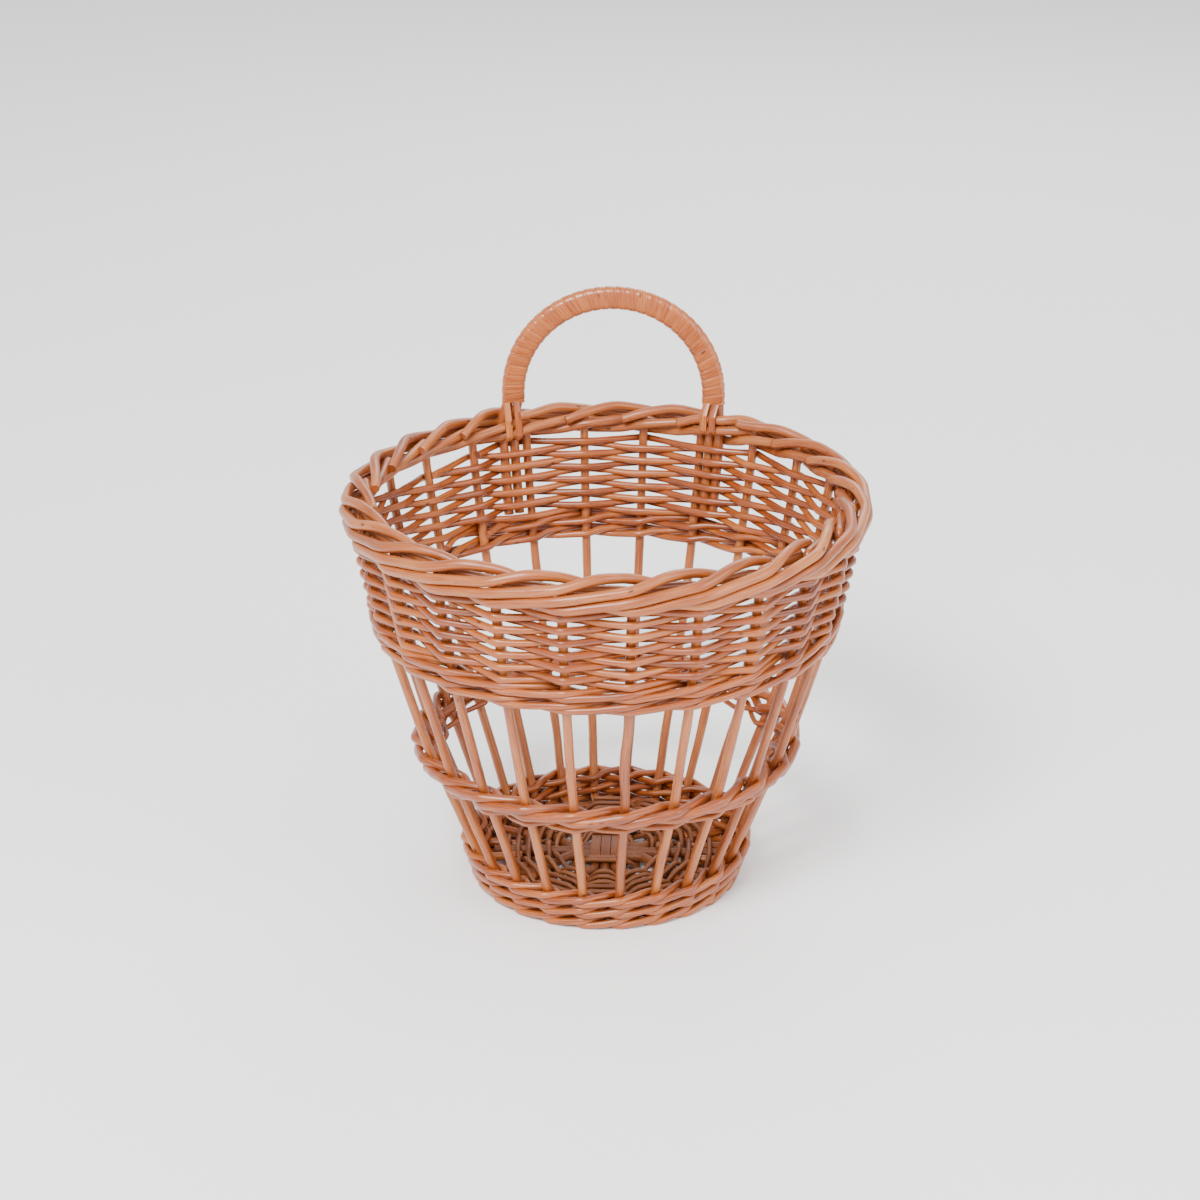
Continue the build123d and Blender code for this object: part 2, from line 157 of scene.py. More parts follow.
# %% Grid to mesh
def grid_object(name, grid, across, along, tone, caps=True):
    """A closed tube from a grid of (rings, places round, xyz); the last place meets the first.

    across and along are the map in millimetres, with one more column than the grid has.
    Caps are flat fans round a middle point at each end.
    """
    rings, places = grid.shape[:2]
    ring, place = np.meshgrid(np.arange(rings - 1), np.arange(places), indexing="ij")
    ring, place = ring.ravel(), place.ravel()
    onward = (place + 1) % places
    quads = np.stack([ring * places + place, ring * places + onward,
                      (ring + 1) * places + onward, (ring + 1) * places + place], axis=1)
    columns = across.shape[1]
    corners = np.stack([ring * columns + place, ring * columns + place + 1,
                        (ring + 1) * columns + place + 1, (ring + 1) * columns + place], axis=1)
    maps = np.stack([across.ravel(), along.ravel()], axis=1)
    points = grid.reshape(-1, 3)
    loops = [quads.ravel()]
    loop_maps = [maps[corners.ravel()]]
    sizes = [np.full(len(quads), 4)]
    if caps:
        round_ = np.arange(places)
        middle = len(points)
        points = np.concatenate([points, grid[0].mean(0)[None], grid[-1].mean(0)[None]])
        last = (rings - 1) * places
        start = np.stack([np.full(places, middle), (round_ + 1) % places, round_], axis=1)
        end = np.stack([np.full(places, middle + 1), last + round_, last + (round_ + 1) % places], axis=1)
        loops += [start.ravel(), end.ravel()]
        sizes.append(np.full(2 * places, 3))
        loop_maps += [np.tile(maps[0], (3 * places, 1)), np.tile(maps[-1], (3 * places, 1))]
    loops = np.concatenate(loops)
    sizes = np.concatenate(sizes)
    mesh = bpy.data.meshes.new(name)
    mesh.vertices.add(len(points))
    mesh.vertices.foreach_set("co", (points * MM).astype(np.float32).ravel())
    mesh.loops.add(len(loops))
    mesh.loops.foreach_set("vertex_index", loops.astype(np.int32))
    mesh.polygons.add(len(sizes))
    starts = np.concatenate([[0], np.cumsum(sizes)[:-1]])
    mesh.polygons.foreach_set("loop_start", starts.astype(np.int32))
    smooth = sizes == 4
    mesh.update(calc_edges=True)
    mesh.polygons.foreach_set("use_smooth", smooth)
    layer = mesh.uv_layers.new(name="rod_map")
    layer.data.foreach_set("uv", np.concatenate(loop_maps).astype(np.float32).ravel())
    shade = mesh.attributes.new("rod_tone", "FLOAT", "POINT")
    shade.data.foreach_set("value", np.full(len(points), tone, np.float32))
    mesh.validate()
    piece = bpy.data.objects.new(name, mesh)
    bpy.context.scene.collection.objects.link(piece)
    return piece


def unit(vectors):
    """Each vector divided by its length."""
    return vectors / np.linalg.norm(vectors, axis=-1, keepdims=True)


def rod(name, line, facing, half_out, half_side, sides=12, ground=False):
    """A rod along a line. Its section is an ellipse: half_out towards `facing` and half_side
    across it, both times a slow random wave and a slight swelling at each leaf mark."""
    runs = np.linalg.norm(np.diff(line, axis=0), axis=1)
    along = np.concatenate([[0.0], np.cumsum(runs)])
    ahead = unit(np.gradient(line, axis=0))
    out = np.broadcast_to(facing, line.shape)
    out = unit(out - ahead * np.sum(out * ahead, axis=1, keepdims=True))
    side = np.cross(ahead, out)
    turn = np.linspace(0, 2 * math.pi, sides, endpoint=False)
    spacing = draws.uniform(34, 46)
    mark = (along + draws.uniform(0, spacing)) % spacing - spacing / 2
    swell = 1 + 0.045 * np.exp(-(mark / 1.6) ** 2) + wander(along, 55, 0.035)
    oval = wander(along, 40, 0.05)
    wide_out = (half_out * swell * (1 + oval))[:, None, None]
    wide_side = (half_side * swell * (1 - oval))[:, None, None]
    circle_out = np.cos(turn)[None, :, None]
    circle_side = np.sin(turn)[None, :, None]
    grid = (line[:, None, :] + wide_out * circle_out * out[:, None, :]
            + wide_side * circle_side * side[:, None, :])
    if ground:
        grid[..., 2] = np.maximum(grid[..., 2], 0.0)
    girth = math.pi * float(np.mean(half_out) + np.mean(half_side))
    start = draws.uniform(0, 900)
    across = np.tile(np.linspace(0, girth, sides + 1), (len(line), 1))
    lengthways = np.tile((along + start)[:, None], (1, sides + 1))
    return grid_object(name, grid, across, lengthways, draws.uniform())


def outward(line):
    """Direction away from the basket's axis at each point, level with the ground."""
    flat = line * np.array([1.0, 1.0, 0.0])
    return unit(flat)


# %% [markdown]
# ## Colours and the willow itself
#
# Buff willow is boiled in its bark and then peeled. Tannin from the bark stains the wood a
# warm orange tan, darker at leaf marks and where water stood, and the skin dries to a soft
# satin, like eggshell paint. Along the rod run fine fibres under half a millimetre apart.

# %% Node helper
def linear(code):
    """sRGB hex to linear: ((c + 0.055) / 1.055) to the power 2.4, or c / 12.92 near black."""
    parts = np.array([int(code[i:i + 2], 16) for i in (1, 3, 5)]) / 255
    light = np.where(parts <= 0.04045, parts / 12.92, ((parts + 0.055) / 1.055) ** 2.4)
    return (*light.tolist(), 1.0)


def add_node(tree, kind, settings=(), inputs=(), links=()):
    """Adds one node: settings on the node, constants on its inputs, links into its inputs."""
    node = tree.nodes.new(kind)
    for key, value in dict(settings).items():
        setattr(node, key, value)
    for key, value in dict(inputs).items():
        node.inputs[key].default_value = value
    for key, source in dict(links).items():
        tree.links.new(source, node.inputs[key])
    return node


def set_ramp(node, stops):
    """Puts (place, colour) stops on a colour ramp."""
    elements = node.color_ramp.elements
    while len(elements) < len(stops):
        elements.new(0.5)
    for element, (place, colour) in zip(elements, stops):
        element.position = place
        element.color = colour


# %% [markdown]
# One recipe serves every rod, with its own colours. Fibres are noise stretched along the
# rod's map. Patches a few centimetres long make the tone drift, as it does from butt to tip.
# Leaf marks and small knots are sparse round cells, dark in the middle. The rod's random
# tone shifts the whole lot. The base sticks are CAD nodes and have no map, so their grain
# uses Object coordinates.

# %% Willow recipe
FIBRE_MM = 0.45
FIBRE_LONG_MM = 14.0
PATCH_MM = 38.0
KNOT_MM = 9.0


def willow(name, dark, middle, light, roughness, coat, mapped=True):
    """Peeled willow: colour = ramp(patch + fibre + tone), darkened at knots."""
    material = bpy.data.materials.new(name)
    material.use_nodes = True
    tree = material.node_tree
    tree.nodes.clear()
    if mapped:
        place = add_node(tree, "ShaderNodeUVMap", {"uv_map": "rod_map"}).outputs["UV"]
        per_mm = 1.0
    else:
        place = add_node(tree, "ShaderNodeTexCoord").outputs["Object"]
        per_mm = 1000.0
    fibre_scale = (per_mm / FIBRE_MM, per_mm / FIBRE_LONG_MM, per_mm / FIBRE_MM)
    fibre_place = add_node(tree, "ShaderNodeMapping", inputs={"Scale": fibre_scale},
                           links={"Vector": place})
    fibre = add_node(tree, "ShaderNodeTexNoise", inputs={"Scale": 1.0, "Detail": 3.0, "Roughness": 0.6},
                     links={"Vector": fibre_place.outputs[0]})
    patch_scale = (per_mm / (0.4 * PATCH_MM), per_mm / PATCH_MM, per_mm / (0.4 * PATCH_MM))
    patch_place = add_node(tree, "ShaderNodeMapping", inputs={"Scale": patch_scale},
                           links={"Vector": place})
    patch = add_node(tree, "ShaderNodeTexNoise", inputs={"Scale": 1.0, "Detail": 2.0, "Roughness": 0.55},
                     links={"Vector": patch_place.outputs[0]})
    tone = add_node(tree, "ShaderNodeAttribute", {"attribute_name": "rod_tone"})
    knot_scale = (per_mm / (0.5 * KNOT_MM), per_mm / KNOT_MM, per_mm / (0.5 * KNOT_MM))
    knot_place = add_node(tree, "ShaderNodeMapping", inputs={"Scale": knot_scale},
                          links={"Vector": place})
    knot = add_node(tree, "ShaderNodeTexVoronoi", {"feature": "F1"}, {"Scale": 1.0},
                    {"Vector": knot_place.outputs[0]})
    # Only one cell in five carries a knot: its random colour has to be above the limit.
    chosen = add_node(tree, "ShaderNodeSeparateColor", links={"Color": knot.outputs["Color"]})
    here = add_node(tree, "ShaderNodeMath", {"operation": "GREATER_THAN"}, {1: 0.78},
                    {0: chosen.outputs["Red"]})
    near = add_node(tree, "ShaderNodeMapRange", {"interpolation_type": "SMOOTHSTEP"},
                    {"From Min": 0.07, "From Max": 0.2, "To Min": 1.0, "To Max": 0.0},
                    {"Value": knot.outputs["Distance"]})
    spot = add_node(tree, "ShaderNodeMath", {"operation": "MULTIPLY"},
                    links={0: here.outputs[0], 1: near.outputs["Result"]})
    drift = add_node(tree, "ShaderNodeMath", {"operation": "MULTIPLY_ADD"}, {1: 0.62},
                     {0: patch.outputs["Fac"], 2: fibre.outputs["Fac"]})
    shifted = add_node(tree, "ShaderNodeMath", {"operation": "MULTIPLY_ADD"}, {1: 0.22},
                       {0: tone.outputs["Fac"], 2: drift.outputs[0]})
    level = add_node(tree, "ShaderNodeMapRange",
                     inputs={"From Min": 0.55, "From Max": 1.32, "To Min": 0.0, "To Max": 1.0},
                     links={"Value": shifted.outputs[0]})
    ramp = add_node(tree, "ShaderNodeValToRGB", links={"Fac": level.outputs["Result"]})
    set_ramp(ramp, [(0.0, linear(dark)), (0.42, linear(middle)), (1.0, linear(light))])
    stain = add_node(tree, "ShaderNodeMix", {"data_type": "RGBA"}, {7: linear("#5A2C14")},
                     {0: spot.outputs[0], 6: ramp.outputs["Color"]})
    gloss = add_node(tree, "ShaderNodeMapRange",
                     inputs={"From Min": 0.3, "From Max": 0.7, "To Min": roughness - 0.07,
                             "To Max": roughness + 0.09},
                     links={"Value": fibre.outputs["Fac"]})
    relief = add_node(tree, "ShaderNodeMath", {"operation": "MULTIPLY_ADD"}, {1: 0.8},
                      {0: spot.outputs[0], 2: fibre.outputs["Fac"]})
    bump = add_node(tree, "ShaderNodeBump", inputs={"Strength": 0.35, "Distance": 0.12 * MM},
                    links={"Height": relief.outputs[0]})
    shader = add_node(tree, "ShaderNodeBsdfPrincipled",
                      inputs={"IOR": 1.5, "Coat Weight": coat, "Coat Roughness": 0.32},
                      links={"Base Color": stain.outputs[2], "Roughness": gloss.outputs["Result"],
                             "Normal": bump.outputs["Normal"]})
    add_node(tree, "ShaderNodeOutputMaterial", links={"Surface": shader.outputs["BSDF"]})
    return material


weaver_finish = willow("buff_willow_weaver", "#4A1B06", "#92420C", "#C47531", 0.36, 0.35)
stake_finish = willow("buff_willow_upright", "#5A2409", "#984B1A", "#C0783B", 0.38, 0.3)
base_finish = willow("buff_willow_base_rod", "#3E1906", "#6E3510", "#9C5E2C", 0.5, 0.08)
stick_finish = willow("buff_willow_base_stick", "#4A2009", "#7A3F15", "#A46432", 0.52, 0.05, mapped=False)
skein_finish = willow("split_willow_skein", "#5E240A", "#9C4A16", "#C87935", 0.3, 0.45)
print("materials:", len(bpy.data.materials))


# %% [markdown]
# ## Putting a piece in place
#
# Every piece rides on the one body of the basket and stands for its CAD node.

# %% Place a piece
def place(piece, finish, slot, *replaced):
    """Finish, body and CAD nodes it stands for, of one piece; the slot argument is not used."""
    piece.data.materials.append(finish)
    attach(piece, "root")
    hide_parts(*replaced)


# %% [markdown]
# ## Uprights and border
#
# Each upright starts flat in the base beside a base stick, turns up at the foot, runs up the
# wall and then becomes the border: behind one upright, in front of three, over the top and
# down inside. Near the handle feet the strokes give way, as they do round any handle. All
# 24 follow one list of marks, turned step by step, so it is one function in a loop.

# %% Border marks
BEHIND = (1.0, -4.6, 2.0)
FRONT_LOW = (2.0, 5.4, -3.3)
FRONT_MIDDLE = (3.0, 6.7, 1.6)
FRONT_HIGH = (4.0, 5.7, 5.9)
BORDER = [BEHIND, (1.35, -1.2, -1.4), FRONT_LOW, FRONT_MIDDLE, FRONT_HIGH,
          (4.5, 0.6, 9.5), (5.0, -4.7, 7.6), (5.35, -6.0, 4.4)]
RIGHT_FOOT = {
    0: [(0.5, -5.1, 3.6), (1.0, -4.9, 2.0)],
    1: [BEHIND, (1.2, -3.2, -0.4), (1.56, 4.3, -4.6), (1.88, 4.6, -4.2), FRONT_LOW],
    2: [FRONT_LOW, (2.56, 6.7, -0.2), FRONT_MIDDLE],
    3: [FRONT_MIDDLE, (3.55, 6.3, 4.3), FRONT_HIGH],
    4: [FRONT_HIGH, (4.25, 1.4, 9.5), (4.52, -5.1, 8.2), (5.0, -4.8, 7.6)],
    5: [(5.0, -4.6, 8.2), (5.2, -5.4, 8.8)],
}
LEFT_FOOT = {
    0: [(0.235, -3.4, 4.5), BEHIND],
    1: [BEHIND, (1.25, -4.6, -0.1), (1.5, -3.0, -1.2), FRONT_LOW],
    2: [FRONT_LOW, (2.2, 6.5, -2.2), (2.5, 6.8, -0.8), FRONT_MIDDLE],
    3: [FRONT_MIDDLE, (3.2, 6.8, 2.3), (3.5, 6.5, 3.7), FRONT_HIGH],
    4: [FRONT_HIGH, (4.15, 6.5, 6.6), (4.5, 6.5, 8.3), (4.8, 0.5, 10.2), (5.0, -3.6, 9.0)],
    5: [(5.0, -4.8, 8.4), (5.2, -5.8, 8.8)],
}


def border_marks(k):
    """Marks of upright k: spaces round, distance outside the ring, height in the border."""
    marks = list(BORDER)
    for foot, space in ((RIGHT_FOOT, RIGHT_STAKE - 1), (LEFT_FOOT, LEFT_STAKE)):
        passed = (space - k) % STAKES
        if passed in foot:
            kept = [m for m in marks if not passed <= m[0] <= passed + 1 + 1e-6]
            marks = sorted(kept + foot[passed])
    return np.array(marks)


# %% Uprights
STAKE_STEP = 1.1
FOOT_BLUR = 1.6
BORDER_BLUR = 3.6
KINK_RISE = 4.7
LOW_PANEL = (20, 34)
HIGH_PANEL = (74, 42)


def stake_line(k):
    """Centre line of upright k: butt, wall, kink and border stroke, softened."""
    angle = stake_angle(k)
    foot = polar(angle, np.array([BUTT_R]), BASE_Z)
    wall = polar(angle, WALL_R[1:-1], WALL_Z[1:-1])
    kink = polar(angle, np.array([BORDER_R]), BORDER_Z + KINK_RISE)
    marks = border_marks(k)
    stroke = polar(angle + STEP * marks[:, 0], BORDER_R + marks[:, 1], BORDER_Z + marks[:, 2])
    marked = even(np.concatenate([foot, wall, kink, stroke]), STAKE_STEP)
    line = soften(marked, STAKE_STEP, FOOT_BLUR)
    # The border strokes are long and smooth, so they are blurred more than the foot.
    smoother = soften(marked, STAKE_STEP, BORDER_BLUR)
    in_border = np.clip((np.cumsum(marked[:, 2] > BORDER_Z) * STAKE_STEP - 6) / 10, 0, 1)[:, None]
    line = line + in_border * (smoother - line)
    # The open panels let an upright stray a little to either side. Each panel is its lower
    # edge and its height.
    height = line[:, 2]
    low, high = (np.sin(math.pi * np.clip((height - edge) / tall, 0, 1)) ** 2
                 for edge, tall in (LOW_PANEL, HIGH_PANEL))
    stray = low * draws.normal(0, 0.25) + high * draws.normal(0, 0.35)
    sideways = polar(angle + 90, 1.0, 0.0)
    return line + stray[:, None] * sideways


for k in range(STAKES):
    line = stake_line(k)
    share = np.linspace(0, 1, len(line))
    half = STAKE_D / 2 * (1.0 + 0.09 * ease((share - 0.58) / 0.12) - 0.06 * ease((share - 0.9) / 0.1))
    angle = math.radians(stake_angle(k))
    # One direction that no part of the upright points along.
    facing = np.array([0.5 * math.cos(angle) + 0.7 * math.sin(angle),
                       0.5 * math.sin(angle) - 0.7 * math.cos(angle), 0.5])
    upright = rod(f"upright_{k + 1:02d}", line, facing, half, half)
    place(upright, stake_finish, "willow_stakes", f"stake_{k + 1:02d}")
print("uprights:", STAKES, "faces each:", len(upright.data.polygons))


# %% [markdown]
# ## Weavers
#
# A weaver swings from inside an upright to outside it and back. It is stiff, so between
# uprights it is nearly straight, and at each upright it folds: a cosine wave would look like
# rope. Its marks are counted in uprights passed. The two handle feet stand beside an upright
# each, and there the weaver goes round upright and foot together. Where a weave has several
# rounds it climbs to its next round between two uprights at the back left.

# %% Weaver lines
def post_span(k, banded):
    """First and last bearing of what a weaver goes round at upright k."""
    start = end = stake_angle(k)
    if banded and k % STAKES == RIGHT_STAKE:
        start -= math.degrees(RIGHT_RODS[1] / wall_radius(BAND_MIDDLE_Z))
    if banded and k % STAKES == LEFT_STAKE:
        end += math.degrees(LEFT_RODS[1] / wall_radius(BAND_MIDDLE_Z))
    return start, end


def climb(u, rise):
    """Height gained: a whole rise each turn, taken between two uprights."""
    turns, rest = np.divmod(u - CLIMB_TO, STAKES)
    ramp = (rest - (STAKES - (CLIMB_TO - CLIMB_FROM))) / (CLIMB_TO - CLIMB_FROM)
    return rise * (turns + np.clip(ramp, 0, 1))


# One repeat of each stroke: uprights passed, swing (1 outside, -1 inside) and level.
RAND = (2, [(0, -1, 0), (1, 1, 0)])
PAIR = (2, [(0, -1, 0.5), (0.5, 0, 0), (1, 1, 0.5), (1.5, 0, 1)])
WALE = (3, [(0, -1, 0.5), (0.5, 0, 0), (1, 1, 0.03), (1.5, 1, 0.5), (2, 1, 0.97), (2.5, 0, 1),
            (2.72, -0.44, 1)])
WEAVER_STEP = 0.9


def weaver_line(stroke, first, passed, diameter, z, lift, rise=0.0, banded=False, behind=None, blur=1.2):
    """Centre line of a weaver that starts behind upright `first` and passes `passed` more,
    and its swing at each point. Straight runs between the marks keep the folds at the uprights."""
    period, marks = stroke
    repeats = passed // period + 1
    u = first + (period * np.arange(repeats)[:, None] + np.array([m[0] for m in marks])).ravel()
    side = np.tile([m[1] for m in marks], repeats)
    height = z + lift * np.tile([m[2] for m in marks], repeats) + climb(u, rise)
    if behind is not None:
        inside = np.where(side == -1, 1.0, np.where(side < 0, 0.1, 0.0))
        height += inside * (behind - height)
    keep = u <= first + passed + 1e-6
    u, side, height = u[keep], side[keep], height[keep]
    whole = np.floor(u + 1e-6).astype(int)
    spans = np.array([post_span(k, banded) for k in range(whole.min(), whole.max() + 2)])
    here, after = spans[whole - whole.min()], spans[whole - whole.min() + 1]
    between = u - whole > 1e-6
    bearing_in = np.where(between, here[:, 1] + (u - whole) * (after[:, 0] - here[:, 1]), here[:, 0])
    bearing_out = np.where(between, bearing_in, here[:, 1])
    bearing = np.stack([bearing_in, bearing_out], axis=1).ravel()
    side, height = np.repeat(side, 2), np.repeat(height, 2)
    reach = (STAKE_D + diameter) / 2 + CLEAR + 0.28 * blur
    corners = polar(bearing, wall_radius(height) + side * reach * wall_lean(height), height)
    fresh = np.concatenate([[True], np.abs(np.diff(bearing)) > 1e-6])
    line = even(corners[fresh], WEAVER_STEP)
    turned = np.cumsum(np.concatenate([[0.0], np.linalg.norm(np.diff(line, axis=0), axis=1)]))
    line[:, 2] += wander(turned, 37, 0.2)
    line = soften(line, WEAVER_STEP, blur)
    swing = (np.hypot(line[:, 0], line[:, 1]) - wall_radius(line[:, 2])) / reach
    return line, np.clip(swing, -1, 1)


def weaver(name, replaced, path, diameter, press=0.06, ground=False):
    """A weaver that is pressed flatter against each upright, by `press` of its thickness."""
    line, swing = path
    half = diameter / 2 * (1 + wander(np.linspace(0, 1, len(line)), 0.7, 0.05))
    pressed = press * swing ** 2
    piece = rod(name, line, outward(line), half * (1 - 0.8 * pressed), half * (1 + pressed), sides=10,
                ground=ground)
    place(piece, weaver_finish, "willow_weavers", replaced)
    return piece


# %% [markdown]
# ### Wale round the foot
#
# Three rods follow each other round, each in front of two uprights and behind one, three
# rounds high. The first round passes under the lying butts of the uprights and the second
# over them, and that locks the base to the wall. The lowest strokes are worn flat.

# %% Foot wale
UPSETT_D = 3.0
UPSETT_Z = 1.25
UPSETT_LIFT = UPSETT_D + 0.08
UPSETT_BEHIND = (BASE_Z - (STAKE_D + UPSETT_D) / 2 - 0.45, BASE_Z + (STAKE_D + UPSETT_D) / 2 + 0.6, None)
for turn in range(3):
    for number in range(3):
        level = UPSETT_Z + 2 * turn * UPSETT_LIFT
        path = weaver_line(WALE, CLIMB_FROM + 3 * turn + number, STAKES, UPSETT_D, level,
                           UPSETT_LIFT, behind=UPSETT_BEHIND[turn])
        weaver(f"foot_round_{turn + 1}_{number + 1}", f"foot_wale_{turn + 1}_rod_{number + 1}", path,
               UPSETT_D + 0.1, ground=turn == 0)
print("foot wale rods: 9")

# %% [markdown]
# ### Middle ring
#
# A thin pair crosses between the uprights to keep them apart, and three thick rods are
# waled over it. It is the one ring of the open wall.

# %% Middle ring
FITCH_D = 2.5
FITCH_Z = 57.6
MIDDLE_D = 4.1
MIDDLE_Z = 63.8
for number in range(2):
    path = weaver_line(PAIR, CLIMB_FROM + number, STAKES, FITCH_D, FITCH_Z, FITCH_D + 0.6)
    weaver(f"middle_pair_{number + 1}", f"middle_fitch_rod_{number + 1}", path, FITCH_D)
for number in range(3):
    path = weaver_line(WALE, CLIMB_FROM + number, STAKES, MIDDLE_D, MIDDLE_Z, MIDDLE_D + 0.2)
    weaver(f"middle_round_{number + 1}", f"middle_wale_rod_{number + 1}", path, MIDDLE_D)
print("middle ring rods: 5")

# %% [markdown]
# ### Woven band
#
# Two rounds of wale start the band, and two long weavers chase each other above them for
# twelve rows. Packed down hard, the rods are a little flatter than they are high.

# %% Band
LOWER_D = 2.9
LOWER_Z = 124.2
BAND_D = 2.85
BAND_ROWS = 12
BAND_PITCH = LOWER_D + CLEAR - 0.02
BAND_Z = LOWER_Z + 4 * BAND_PITCH
for number in range(3):
    path = weaver_line(WALE, CLIMB_TO + number, 2 * STAKES - 3, LOWER_D, LOWER_Z, BAND_PITCH,
                       rise=2 * BAND_PITCH)
    weaver(f"band_foot_{number + 1}", f"lower_wale_rod_{number + 1}", path, LOWER_D + 0.15)
for number, letter in enumerate("ab"):
    passed = STAKES * BAND_ROWS // 2 - 2 - 2 * number
    path = weaver_line(RAND, CLIMB_TO + number, passed, BAND_D, BAND_Z + number * BAND_PITCH, 0.0,
                       rise=2 * BAND_PITCH, banded=True)
    band = weaver(f"band_row_{letter}", f"band_weaver_{letter}", path, BAND_D + 0.15, press=0.2)
    print("band weaver", letter, "faces:", len(band.data.polygons))

# %% [markdown]
# ## Base
#
# The bottom is a cross of three split and three whole sticks, opened out like spokes. Two
# rounds of a fine rod tie the cross, and two more fine rods chase each other outwards, over
# and under. The sticks are straight enough as the CAD has them, and only get their finish.

# %% Base sticks and ties
STICK_D = 4.4
BASE_WEAVER_D = 2.2
SLATH = STICK_D + CLEAR
SPREAD_A = np.array([16.5, SLATH])
SPREAD_B = np.array([26.0, 15.0])
UNDER = STICK_D / 2 + BASE_WEAVER_D / 2 + 0.15
for node in nodes.values():
    if node.name.startswith("base_stick"):
        node.data.materials.clear()
        node.data.materials.append(stick_finish)

tie_marks = []
for reach, half_side in ((12.0, 6.9), (14.5, 7.9)):
    for quarter in range(4):
        swing = UNDER if quarter % 2 else -UNDER
        for sideways in (-half_side, half_side):
            bearing = math.degrees(math.atan2(sideways, reach)) + 90 * quarter
            tie_marks.append(polar(bearing, math.hypot(reach, sideways), BASE_Z + swing))
tie_line = soften(even(np.array(tie_marks), 0.4), 0.4, 0.7)
tie = rod("cross_tie", tie_line, outward(tie_line), BASE_WEAVER_D / 2, BASE_WEAVER_D / 2, sides=10)
place(tie, base_finish, "willow_weavers", "base_slath_tie")


# %% Base weavers
def stick_bearing(k, radius):
    """Bearing of stick end k at a radius: where that circle crosses the opened stick."""
    middle = round(k / 3) * 90
    side = k - 3 * round(k / 3)
    if side == 0 or radius >= np.linalg.norm(SPREAD_B):
        return middle + 30 * side
    run = SPREAD_B - SPREAD_A
    a, b, c = run @ run, 2 * SPREAD_A @ run, SPREAD_A @ SPREAD_A - radius ** 2
    crossing = SPREAD_A + run * (-b + math.sqrt(b * b - 4 * a * c)) / (2 * a)
    return middle + side * math.degrees(math.atan2(crossing[1], crossing[0]))


BASE_PITCH = BASE_WEAVER_D + 0.2
BASE_START = 21.5
BASE_POSTS = 64
for number, letter in enumerate("ab"):
    spiral = []
    for post in range(BASE_POSTS):
        radius = BASE_START + BASE_PITCH * (number + 2 * post / 12)
        bearing = stick_bearing(post % 12, radius) + 360 * (post // 12)
        half_width = 2.15 if post >= 12 else 2.5
        if radius > BUTT_R - 3.0:
            half_width = radius * math.sin(math.radians(STEP / 2)) + 1.2
        swing = math.degrees(half_width / radius)
        height = BASE_Z + (UNDER if (post + number) % 2 else -UNDER)
        spiral += [polar(bearing - swing, radius, height), polar(bearing + swing, radius, height)]
    line = soften(even(np.array(spiral), 0.6), 0.6, 1.0)
    piece = rod(f"base_row_{letter}", line, outward(line), BASE_WEAVER_D / 2, BASE_WEAVER_D / 2, sides=8)
    place(piece, base_finish, "willow_weavers", f"base_weaver_{letter}")
print("base rods: 3 made, 6 sticks kept from the CAD")

# %% [markdown]
# ## Handle
#
# Two rods side by side are pushed down into the band beside an upright, rise through the
# border, and bend over in a half circle. A split strip of willow is wound round both, turn
# against turn, from foot to foot.

# %% Bow rods
HANDLE_Y = 96.5
BOW_HALF = 46.5
BOW_SPRING_Z = 194.0
WRAP_FOOT_Z = 190.0
BOW_D = 4.6
BOW_GAP = BOW_D + 0.3
TAIL_Z = 137.2
TAIL_TURN_Z = 171.2
RIGHT_CHANNEL = -0.5
LEFT_CHANNEL = 1.8


def tail(which, hand):
    """Marks of a handle rod from inside the band up through the border."""
    stake = stake_angle(RIGHT_STAKE if hand > 0 else LEFT_STAKE)
    offset = (RIGHT_RODS if hand > 0 else LEFT_RODS)[which]
    channel = RIGHT_CHANNEL if hand > 0 else LEFT_CHANNEL
    heights = np.array([TAIL_Z, 156.0, TAIL_TURN_Z, BORDER_Z - 1.5, BORDER_Z + 6.0])
    radii = np.concatenate([wall_radius(heights[:3]), [BORDER_R + channel] * 2])
    return polar(stake - hand * np.degrees(offset / radii), radii, heights)


def bow_arc(half):
    """Half circle in the handle's plane: x = h cos t, z = spring + h sin t."""
    t = np.linspace(0, math.pi, 90)
    return np.stack([half * np.cos(t), np.full_like(t, HANDLE_Y), BOW_SPRING_Z + half * np.sin(t)], axis=1)


for name, which, shift in (("outer", 1, BOW_GAP / 2), ("inner", 0, -BOW_GAP / 2)):
    half = BOW_HALF + shift
    spring = np.array([[half, HANDLE_Y, WRAP_FOOT_Z]])
    marks = np.concatenate([tail(which, 1), spring, bow_arc(half), spring * [-1, 1, 1],
                            tail(which, -1)[::-1]])
    line = soften(even(marks, 1.0), 1.0, 2.0)
    piece = rod(f"bow_rod_{name}", line, np.array([0.0, 1.0, 0.0]), BOW_D / 2, BOW_D / 2)
    place(piece, stake_finish, "willow_bow", f"handle_bow_{name}")


# %% [markdown]
# The winding is one surface round both rods. Its outline is a slot shape, two half circles
# joined by straight sides. A screw-like phase, distance along the bow plus the share of the
# way round, says where each strip's edge is, and the strip is crowned between its edges.

# %% Winding
SKEIN = 0.6
TURN_PITCH = 4.7
CROWN = 0.34


